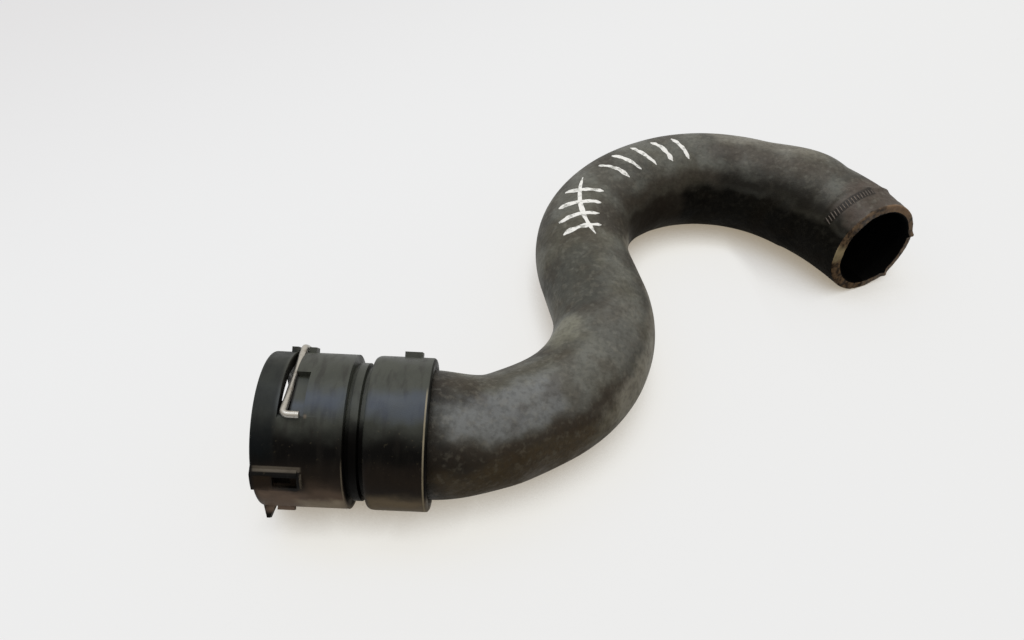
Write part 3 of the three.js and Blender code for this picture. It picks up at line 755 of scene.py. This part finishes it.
def nylon(name, dust_and_painted_light):
    """Glass-filled nylon, moulded: black and satin, with a fine spark-eroded grain and brown road dust, and
    painted light and shade.

    Each mark, dust as well as painted light and shade, is a colour, a share and the bands of station, angle
    and radius that it lies in, a band being its low and high values and the softness of its edges."""
    material, tree, output, place = new_material(name)
    station, angle, radius = coupler_place(tree, place)
    film = blotches(tree, place, 9, 0.36, 0.62, detail=6)
    streaks = blotches(tree, place, 6, 0.48, 0.7, detail=6, shift=4.2, stretch=(2.4, 0.6, 0.6))
    specks = blotches(tree, place, 1.1, 0.64, 0.76, detail=3, shift=9.0)
    ragged_angle = strayed(tree, angle, place, 7, 4)
    # Painted light and shade: the top is lighter and filmed, the underside near black
    painted_lit_top = ramp(tree, ragged_angle, 42, 70)
    colour = mixed(tree, painted_lit_top, linear("#090807"), linear("#363933"))
    colour = tinted(tree, colour, "#4a4c45", film, painted_lit_top, 0.4)
    colour = tinted(tree, colour, "#1b1916", streaks, 0.55)
    colour = tinted(tree, colour, "#57503f", specks, 0.3)
    gloss = between(tree, painted_lit_top, 0.07, 0.28)
    for mark_colour, share, *bands in dust_and_painted_light:
        values = (station, ragged_angle if bands[1][2] > CRISP_EDGE else angle, radius)
        mask = times(tree, share, *(band(tree, value, *limits) for value, limits in zip(values, bands)))
        colour = tinted(tree, colour, mark_colour, mask, between(tree, film, 0.7, 1.0))
        mark_gloss = PAINTED_REFLECTION_GLOSS if mark_colour == PAINTED_REFLECTION else DUST_AND_SHADE_GLOSS
        gloss = times(tree, gloss, between(tree, mask, 1.0, mark_gloss))
    rough = between(tree, film, 0.42, 0.55)
    grain = blotches(tree, place, 0.45, 0.3, 0.7, detail=2)
    flow = blotches(tree, place, 12, 0.3, 0.7, detail=2, shift=1.7)
    shader = add(tree, "ShaderNodeBsdfPrincipled", {
        "Base Color": colour, "Roughness": rough, "IOR": 1.53, "Specular IOR Level": gloss,
        "Normal": bumped(tree, [(flow, 0.05), (grain, 0.012)])})
    tree.links.new(shader.outputs[0], output.inputs["Surface"])
    return material


ALL_ROUND = (-200, 200, 1)
body_nylon = nylon("glass_filled_nylon", [
    (PAINTED_REFLECTION, 0.55, (8, 29, 3), (66, 83, 7), (24, 28, 0.5)),  # painted bluish reflection of the overhead window
    ("#14181a", 0.75, (-1, 7.5, 1), (34, 140, 6), (20, 28, 1)),  # the front band, darker
    ("#2f2822", 0.65, (1, 29, 1.5), (-70, 28, 10), (24, 26.2, 0.3)),  # brown dust, thicker lower down
    ("#33291f", 0.6, (1, 7, 1), (9, 21, 1), (26.9, 28, 0.2)),  # and on the key pad
    # painted reflection of the pale table on the underside, over brown dust
    ("#857468", 0.85, (1, 29, 1.5), (-70, 6, 6), (24, 28, 1)),
    ("#5d5046", 0.6, (17, 29, 1.5), (-70, 14, 8), (24, 28, 1)),
    ("#c4b8a4", 0.7, (14, 28.4, 3), (-70, -7, 5), (24, 28, 1)),
    ("#6d665c", 0.75, (1, 16, 0.5), (23.4, 27.2, 0.5), (25.2, 28, 0.2)),  # painted highlight along the pad's sloping side
    ("#5d564c", 0.7, (15.7, 16.4, 0.2), (8, 23, 1.5), (26.1, 28, 0.2)),  # and on its rear edge
    ("#968c7b", 0.5, (28.45, 28.92, 0.12), (-60, 28, 8), (25.5, 27, 0.1)),  # painted highlight on the barrel's rear edge, over dust
    ("#0a0908", 0.98, (28.85, 36, 0.05), (-200, 62, 8), (14, 25.85, 0.1)),  # painted shade in the groove
    ("#0e0d0c", 0.96, (7, 12, 0.4), ALL_ROUND, (14, 25.3, 0.3)),  # painted shade in the slot
    ("#6f6558", 0.85, (16.4, 17.3, 0.35), (62, 64.4, 1.1), (25, 27, 0.3)),  # painted highlight at the pocket's end, by the foot
])
STEM_RADIUS = 16.6
STEM_BORE = 14.2
STEM_LENGTH = 21.5
STEM_LIP = 0.6
BARB_COUNT = 3
BARB_PITCH = 5.2
BARB_HEIGHT = 0.8
SEAL_BORE = 21
GLAND_START = 18.6
GLAND_END = 22.4
GLAND_RADIUS = 24
stem_end = neck_end + STEM_LENGTH
outside = [
    (0, 23.6), *quarter((0, BARREL_RADIUS - 0.9), (0.9, BARREL_RADIUS), True),
    (BARREL_LENGTH, BARREL_RADIUS), (BARREL_LENGTH + 0.2, GROOVE_RADIUS), (COLLAR_START, GROOVE_RADIUS),
    (COLLAR_START, COLLAR_RADIUS), (COLLAR_END, COLLAR_RADIUS), (COLLAR_END + 0.5, NECK_RADIUS),
    (neck_end, NECK_RADIUS), (neck_end, STEM_RADIUS),
]
for i in reversed(range(BARB_COUNT)):
    slope_end = stem_end - STEM_LIP - i * BARB_PITCH
    outside += [(slope_end - 4, STEM_RADIUS), (slope_end - 3.7, STEM_RADIUS + BARB_HEIGHT)]
    outside.append((slope_end, STEM_RADIUS))
inside = [
    (stem_end, STEM_RADIUS - STEM_LIP), (stem_end, STEM_BORE + STEM_LIP), (stem_end - STEM_LIP, STEM_BORE),
    (32, STEM_BORE), (27, SEAL_BORE), (GLAND_END, SEAL_BORE), (GLAND_END, GLAND_RADIUS),
    (GLAND_START, GLAND_RADIUS), (GLAND_START, SEAL_BORE), (16, SEAL_BORE), (15, MOUTH_RADIUS),
    (2.4, MOUTH_RADIUS),
]
body = turned("coupler_moulding", outside + inside, body_nylon)
WIRE_RADIUS = 1.15
CLIP_STATION = 10.1
CLIP_RADIUS = BARREL_RADIUS + 0.4 + WIRE_RADIUS
CLIP_TRAVEL = 15
CLIP_ROOM = 0.3
FOOT_ANGLE = 63.5
# Foot of what stands on the barrel or the sleeve, a little inside them
STAND_ROOT = 24.8
TOOTH_ANGLE = -34
TOOTH_WIDTH = 2.6
TOOTH_SIDE = [(0.05, STAND_ROOT), (3.8, STAND_ROOT), (3.8, 26), (2.4, 30), (1.4, 30), (0.05, 26)]
GUIDE_ANGLE = 143.5
GUIDE_WIDTH = 5.5
GUIDE_TOP = 27.7
POCKET_END = 16.2
# Farther out than any part of the coupler
CUT_REACH = 52
chord_half = math.acos(MOUTH_RADIUS / CLIP_RADIUS) / RAD
slot = (CLIP_STATION - WIRE_RADIUS - 0.95, CLIP_STATION + WIRE_RADIUS + CLIP_ROOM)
joins = [
    shell_block("pad_long", (0.05, 16.2), (25, 27.3), (11.0, 19.0), body_nylon, slope=6),
    shell_block("pad_middle", (0.05, 15.7), (25, 27.28), (9.4, 20.6), body_nylon, slope=6),
    shell_block("pad_short", (0.05, 14.8), (25, 27.26), (8.2, 21.8), body_nylon, slope=6),
    block("tooth", TOOTH_SIDE, TOOTH_WIDTH, TOOTH_ANGLE, body_nylon),
    block("low_rib", upright((4.7, 10.3), (STAND_ROOT, 27.2)), TOOTH_WIDTH, TOOTH_ANGLE, body_nylon),
]
cuts = [shell_block("window", (7.1, 14.8), (24.7, 30), (11.4, 20), body_nylon)]
for side in (1, -1):
    for number, guide in enumerate(((slot[0] - 2.3, slot[0] - 0.02), (slot[1] + 0.02, slot[1] + 2.5))):
        guide_side = upright(guide, (STAND_ROOT, GUIDE_TOP))
        name = f"guide_{side}_{number}"
        joins.append(block(name, guide_side, GUIDE_WIDTH, side * GUIDE_ANGLE, body_nylon))
    slot_side = upright(slot, (MOUTH_RADIUS - WIRE_RADIUS - 0.6, CUT_REACH))
    cuts.append(block(f"slot_{side}", slot_side, CUT_REACH, side * (FOOT_ANGLE + chord_half), body_nylon))
    foot_height = CLIP_RADIUS * math.sin(FOOT_ANGLE * RAD) - WIRE_RADIUS - CLIP_ROOM
    foot_stop = -CLIP_RADIUS * math.cos(FOOT_ANGLE * RAD) + CLIP_TRAVEL + WIRE_RADIUS + CLIP_ROOM
    near_slot = slot[1] - 0.3
    pocket_plan = [(near_slot, -BARREL_RADIUS), (POCKET_END, -BARREL_RADIUS), (POCKET_END, foot_stop),
                   (near_slot, foot_stop)]
    pocket = [mouth + Vector((s, y, side * z)) for z in (foot_height, CUT_REACH) for s, y in pocket_plan]
    cuts.append(solid_between(f"pocket_{side}", [pocket[:4], pocket[4:]], body_nylon))
worked(body, joins, cuts, 0.22)
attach(body, "hose_assembly")
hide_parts("coupler_body")

# Seal
# A round EPDM ring in the gland of the coupler's bore, its inner edge standing a little into the bore.
SEAL_CENTRE_RADIUS = 22.25
SEAL_SECTION = 1.6


def seal_rubber():
    """Moulded EPDM seal, black and smooth, greased when it was fitted."""
    material, tree, output, place = new_material("greased_seal_rubber")
    grease = blotches(tree, place, 4, 0.4, 0.6)
    colour = tinted(tree, linear("#141414"), "#26241f", grease, 0.4)
    shader = add(tree, "ShaderNodeBsdfPrincipled", {
        "Base Color": colour, "Roughness": between(tree, grease, 0.3, 0.5), "IOR": 1.5})
    tree.links.new(shader.outputs[0], output.inputs["Surface"])
    return material


seal_station = (seal_low.x + seal_high.x) / 2 - mouth.x
section = [
    (seal_station + SEAL_SECTION * math.cos(t * RAD), SEAL_CENTRE_RADIUS + SEAL_SECTION * math.sin(t * RAD))
    for t in range(360, 0, -15)
]
seal = turned("seal", section, seal_rubber(), 180)
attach(seal, "hose_assembly")
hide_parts("seal_ring")

# Locking sleeve
# A black nylon cup welded against the coupler's neck, which grips the hose end on the barbs. Its open
# end has a painted highlight over dust, and a dark gap with painted shade shows between its lip and the
# hose.
SLEEVE_FLANGE = 2.4
SLEEVE_BORE = 22.2
SLEEVE_LIP = 0.8
STEM_HOLE_RADIUS = STEM_RADIUS + 0.3
s0 = sleeve_low.x - mouth.x
s1 = sleeve_high.x - mouth.x
sleeve_profile = [
    (s0, STEM_HOLE_RADIUS), *quarter((s0, BARREL_RADIUS - 1), (s0 + 2.2, BARREL_RADIUS), True),
    *quarter((s1 - 1.1, BARREL_RADIUS), (s1, BARREL_RADIUS - 1.1), False),
    (s1, SLEEVE_BORE + SLEEVE_LIP), (s1 - SLEEVE_LIP, SLEEVE_BORE), (s0 + SLEEVE_FLANGE, SLEEVE_BORE),
    (s0 + SLEEVE_FLANGE, STEM_HOLE_RADIUS),
]
sleeve_nylon = nylon("sleeve_nylon", [
    # painted bluish reflection of the overhead window
    (PAINTED_REFLECTION, 0.55, (s0, s1, 2), (64, 83, 7), (24, 28, 0.5)),
    ("#2f2822", 0.7, (s0, s1, 1.5), (-80, 28, 10), (24, 28, 1)),  # brown dust, thicker lower down
    # painted reflection of the pale table on the underside, over dust
    ("#877a66", 0.85, (s0 + 1, s1, 1.5), (-80, 2, 8), (24, 28, 1)),
    ("#a09680", 0.8, (s1 - 1.25, s1 - 0.75, 0.12), (-80, 84, 6), (25, 27, 0.1)),  # painted highlight on the rear edge, over dust
    ("#080706", 0.97, (s1 - 0.6, s1 + 0.5, 0.1), (0, 200, 8), (20, 27, 0.1)),  # shaded end face
])
sleeve = turned("locking_sleeve_moulding", sleeve_profile, sleeve_nylon)
lug_side = upright((s0 + 9.2, s0 + 15.2), (STAND_ROOT, GUIDE_TOP))
lug = block("sleeve_lug", lug_side, 6, GUIDE_ANGLE, sleeve_nylon)
worked(sleeve, [lug], [], 0.3)
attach(sleeve, "hose_assembly")
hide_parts("locking_sleeve")

# Wire clip
# Hard-drawn stainless wire, bent cold: a crown round the far side, two legs across the slots, and a foot
# at the end of each leg. It is pulled out away from the feet to free the pipe.
FOOT_LENGTH = 5.2
BEND_RADIUS = 2.0
CROWN_STEPS = 12
WIRE_SIDES = 24


def wire_tree():
    """Round wire along a line of points, with its corners bent to one radius and its ends closed."""
    tree, given, out = geometry_tree("bent_wire", [
        ("Geometry", "NodeSocketGeometry", None), ("Wire Radius", "NodeSocketFloat", 0.001),
        ("Bend Radius", "NodeSocketFloat", 0.002), ("Sides", "NodeSocketInt", 24),
        ("Material", "NodeSocketMaterial", None),
    ])
    line = add(tree, "GeometryNodeMeshToCurve", {"Mesh": given.outputs["Geometry"]}).outputs[0]
    bent = add(tree, "GeometryNodeFilletCurve", {
        "Curve": line, "Count": 8, "Radius": given.outputs["Bend Radius"], "Limit Radius": True,
    }, mode="POLY").outputs[0]
    section = add(tree, "GeometryNodeCurvePrimitiveCircle", {
        "Resolution": given.outputs["Sides"], "Radius": given.outputs["Wire Radius"]}).outputs[0]
    tube = add(tree, "GeometryNodeCurveToMesh", {
        "Curve": bent, "Profile Curve": section, "Fill Caps": True}).outputs[0]
    whole = add(tree, "GeometryNodeSetShadeSmooth", {"Geometry": tube}).outputs[0]
    real = add(tree, "GeometryNodeRealizeInstances", {"Geometry": whole}).outputs[0]
    done = add(tree, "GeometryNodeSetMaterial", {
        "Geometry": real, "Material": given.outputs["Material"]}).outputs[0]
    tree.links.new(done, out.inputs[0])
    return tree


def stainless_wire():
    """Drawn stainless spring wire: bright, with fine draw lines and a little brown in its bends."""
    material, tree, output, place = new_material("drawn_stainless_wire")
    stain = blotches(tree, place, 3.0, 0.52, 0.72, detail=5)
    colour = tinted(tree, linear("#b4b1aa"), "#857b6e", stain, 0.5)
    draw = blotches(tree, place, 0.6, 0.3, 0.7, stretch=(0.3, 1, 1))
    shader = add(tree, "ShaderNodeBsdfPrincipled", {
        "Base Color": colour, "Metallic": 1.0, "Roughness": between(tree, stain, 0.42, 0.55),
        "Normal": bumped(tree, [(draw, 0.01)])})
    tree.links.new(shader.outputs[0], output.inputs["Surface"])
    return material


crown_angle = FOOT_ANGLE + 2 * chord_half
crown_turns = [crown_angle + (180 - crown_angle) * i / CROWN_STEPS for i in range(CROWN_STEPS + 1)]
half = [around(CLIP_STATION + FOOT_LENGTH, CLIP_RADIUS, FOOT_ANGLE)]
half += [around(CLIP_STATION, CLIP_RADIUS, turn) for turn in [FOOT_ANGLE, *crown_turns]]
other = [Vector((p.x, p.y, 2 * mouth.z - p.z)) for p in reversed(half[:-1])]
wire_line = bpy.data.meshes.new("wire_line")
wire_points = [p * MM for p in half + other]
wire_line.from_pydata(wire_points, [(i, i + 1) for i in range(len(wire_points) - 1)], [])
clip = grown("wire_clip", wire_tree(), {
    "Wire Radius": WIRE_RADIUS * MM, "Bend Radius": BEND_RADIUS * MM, "Sides": WIRE_SIDES,
    "Material": stainless_wire(),
}, wire_line)
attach(clip, "clip")
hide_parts("spring_clip")

# Table
# A wide pale table top, which the part lies on. It is pale to the camera and in reflections and keeps the
# part's shadow, with a contact shadow painted into its own light; the light that it throws back up is
# weaker.
# Its colours are linear, because the light that falls on it adds to its own.
TABLE_HALF = 6000
TABLE_HEIGHT = -0.1
TABLE_LIT = (0.05, 0.08, 0.15, 1)
TABLE_PALE = (0.797, 0.767, 0.697, 1)
TABLE_FAR_LEFT = (0.71, 0.67, 0.60, 1)
TABLE_SHADED = (0.27, 0.22, 0.15, 1)
TABLE_BOUNCE = (0.2, 0.19, 0.17, 1)
SHADOW_REACH = 0.015
RIGHT_SHADOW_REACH = 0.06
table_material, tree, output, place = new_material("pale_table")
path = add(tree, "ShaderNodeLightPath").outputs
seen = add(tree, "ShaderNodeMath", {0: path["Is Camera Ray"], 1: path["Is Glossy Ray"]}, operation="ADD")
seen = add(tree, "ShaderNodeMath", {0: seen.outputs[0], 1: path["Is Transmission Ray"]},
           operation="ADD", use_clamp=True).outputs[0]
lit = add(tree, "ShaderNodeBsdfDiffuse", {"Color": TABLE_LIT}).outputs[0]
# The painted contact shadow reaches farther near the part's thicker right end
to_right = add(tree, "ShaderNodeSeparateXYZ", {0: place}).outputs[0]
reach = between(tree, ramp(tree, to_right, 0.05, 0.08), SHADOW_REACH, RIGHT_SHADOW_REACH)
# A contact shadow is painted into the table's own light where the part closes it in
open_share = add(tree, "ShaderNodeAmbientOcclusion", {"Distance": reach}, samples=4).outputs["AO"]
table_colour = mixed(tree, ramp(tree, open_share, 0.0, 0.85), TABLE_SHADED, TABLE_PALE)
# Painted shade: the far left of the table lies a little darker
to_far_left = add(tree, "ShaderNodeVectorMath", {0: place, 1: (-0.7, 0.7, 0)},
                  operation="DOT_PRODUCT").outputs["Value"]
table_colour = mixed(tree, ramp(tree, to_far_left, 0.12, 0.5), table_colour, TABLE_FAR_LEFT)
own_light = add(tree, "ShaderNodeEmission", {"Color": table_colour, "Strength": 1.0}).outputs[0]
pale = add(tree, "ShaderNodeAddShader", {0: lit, 1: own_light}).outputs[0]
bounce = add(tree, "ShaderNodeBsdfDiffuse", {"Color": TABLE_BOUNCE}).outputs[0]
top = add(tree, "ShaderNodeMixShader", {0: seen, 1: bounce, 2: pale}).outputs[0]
tree.links.new(top, output.inputs["Surface"])
table_plan = ((-1, -1), (1, -1), (1, 1), (-1, 1))
table_corners = [(x * TABLE_HALF, y * TABLE_HALF, TABLE_HEIGHT) for x, y in table_plan]
table = mesh_piece("table_top", table_corners, [(0, 1, 2, 3)], table_material, flat=True)

# Light
# A long narrow window almost overhead, bluish, in a pale room that is dark only behind the viewer.
WINDOW_LENGTH = 1.0
WINDOW_WIDTH = 0.28
WINDOW_WATTS = 3.5
WINDOW_COLOUR = (0.80, 0.88, 1.0)
WINDOW_PLACE = (-0.35, 0.2, 1.0)
WINDOW_TURN = (-10.7 * RAD, -19.3 * RAD, 0)
window_data = bpy.data.lights.new("overhead_window", "AREA")
window_data.shape = "RECTANGLE"
window_data.size = WINDOW_LENGTH
window_data.size_y = WINDOW_WIDTH
window_data.energy = WINDOW_WATTS
window_data.color = WINDOW_COLOUR
window = bpy.data.objects.new("overhead_window", window_data)
window.location = WINDOW_PLACE
window.rotation_euler = WINDOW_TURN
bpy.context.scene.collection.objects.link(window)
world = bpy.data.worlds.new("room")
world.use_nodes = True
room = world.node_tree
room.nodes.clear()
way = add(room, "ShaderNodeTexCoord").outputs["Generated"]
up_share = add(room, "ShaderNodeVectorMath", {0: way, 1: (0, 0.42, 0.9)},
               operation="DOT_PRODUCT").outputs["Value"]
level = between(room, ramp(room, up_share, -0.45, 0.6), 0.08, 0.95)
room_light = add(room, "ShaderNodeBackground", {"Color": linear("#fffaf2"), "Strength": level})
add(room, "ShaderNodeOutputWorld", {"Surface": room_light.outputs[0]})
bpy.context.scene.world = world

# Camera
# Held above the near side of the coupler, looking down at 47 degrees, as fitted to the photograph.
CAMERA_FROM_MOUTH = (77.88, -168.05, 239.17)
CAMERA_HEADING = 0.6646
CAMERA_DOWN = 46.995
CAMERA_ROLL = -3.116
FOCAL_PIXELS = 847.58
IMAGE_WIDTH = 1024
heading, down, roll = (angle * RAD for angle in (CAMERA_HEADING, CAMERA_DOWN, CAMERA_ROLL))
ahead = Vector((math.sin(heading) * math.cos(down), math.cos(heading) * math.cos(down), -math.sin(down)))
level_right = Vector((math.cos(heading), -math.sin(heading), 0))
level_below = ahead.cross(level_right)
right = level_right * math.cos(roll) + level_below * math.sin(roll)
below = level_below * math.cos(roll) - level_right * math.sin(roll)
camera_data = bpy.data.cameras.new("camera")
camera_data.sensor_width = 36
camera_data.lens = FOCAL_PIXELS / IMAGE_WIDTH * camera_data.sensor_width
camera_data.clip_start = 0.01
camera = bpy.data.objects.new("camera", camera_data)
place = Matrix((right, -below, -ahead)).transposed().to_4x4()
place.translation = (mouth + Vector(CAMERA_FROM_MOUTH)) * MM
camera.matrix_world = place
bpy.context.scene.collection.objects.link(camera)
bpy.context.scene.camera = camera
bpy.context.scene.view_settings.view_transform = "Standard"
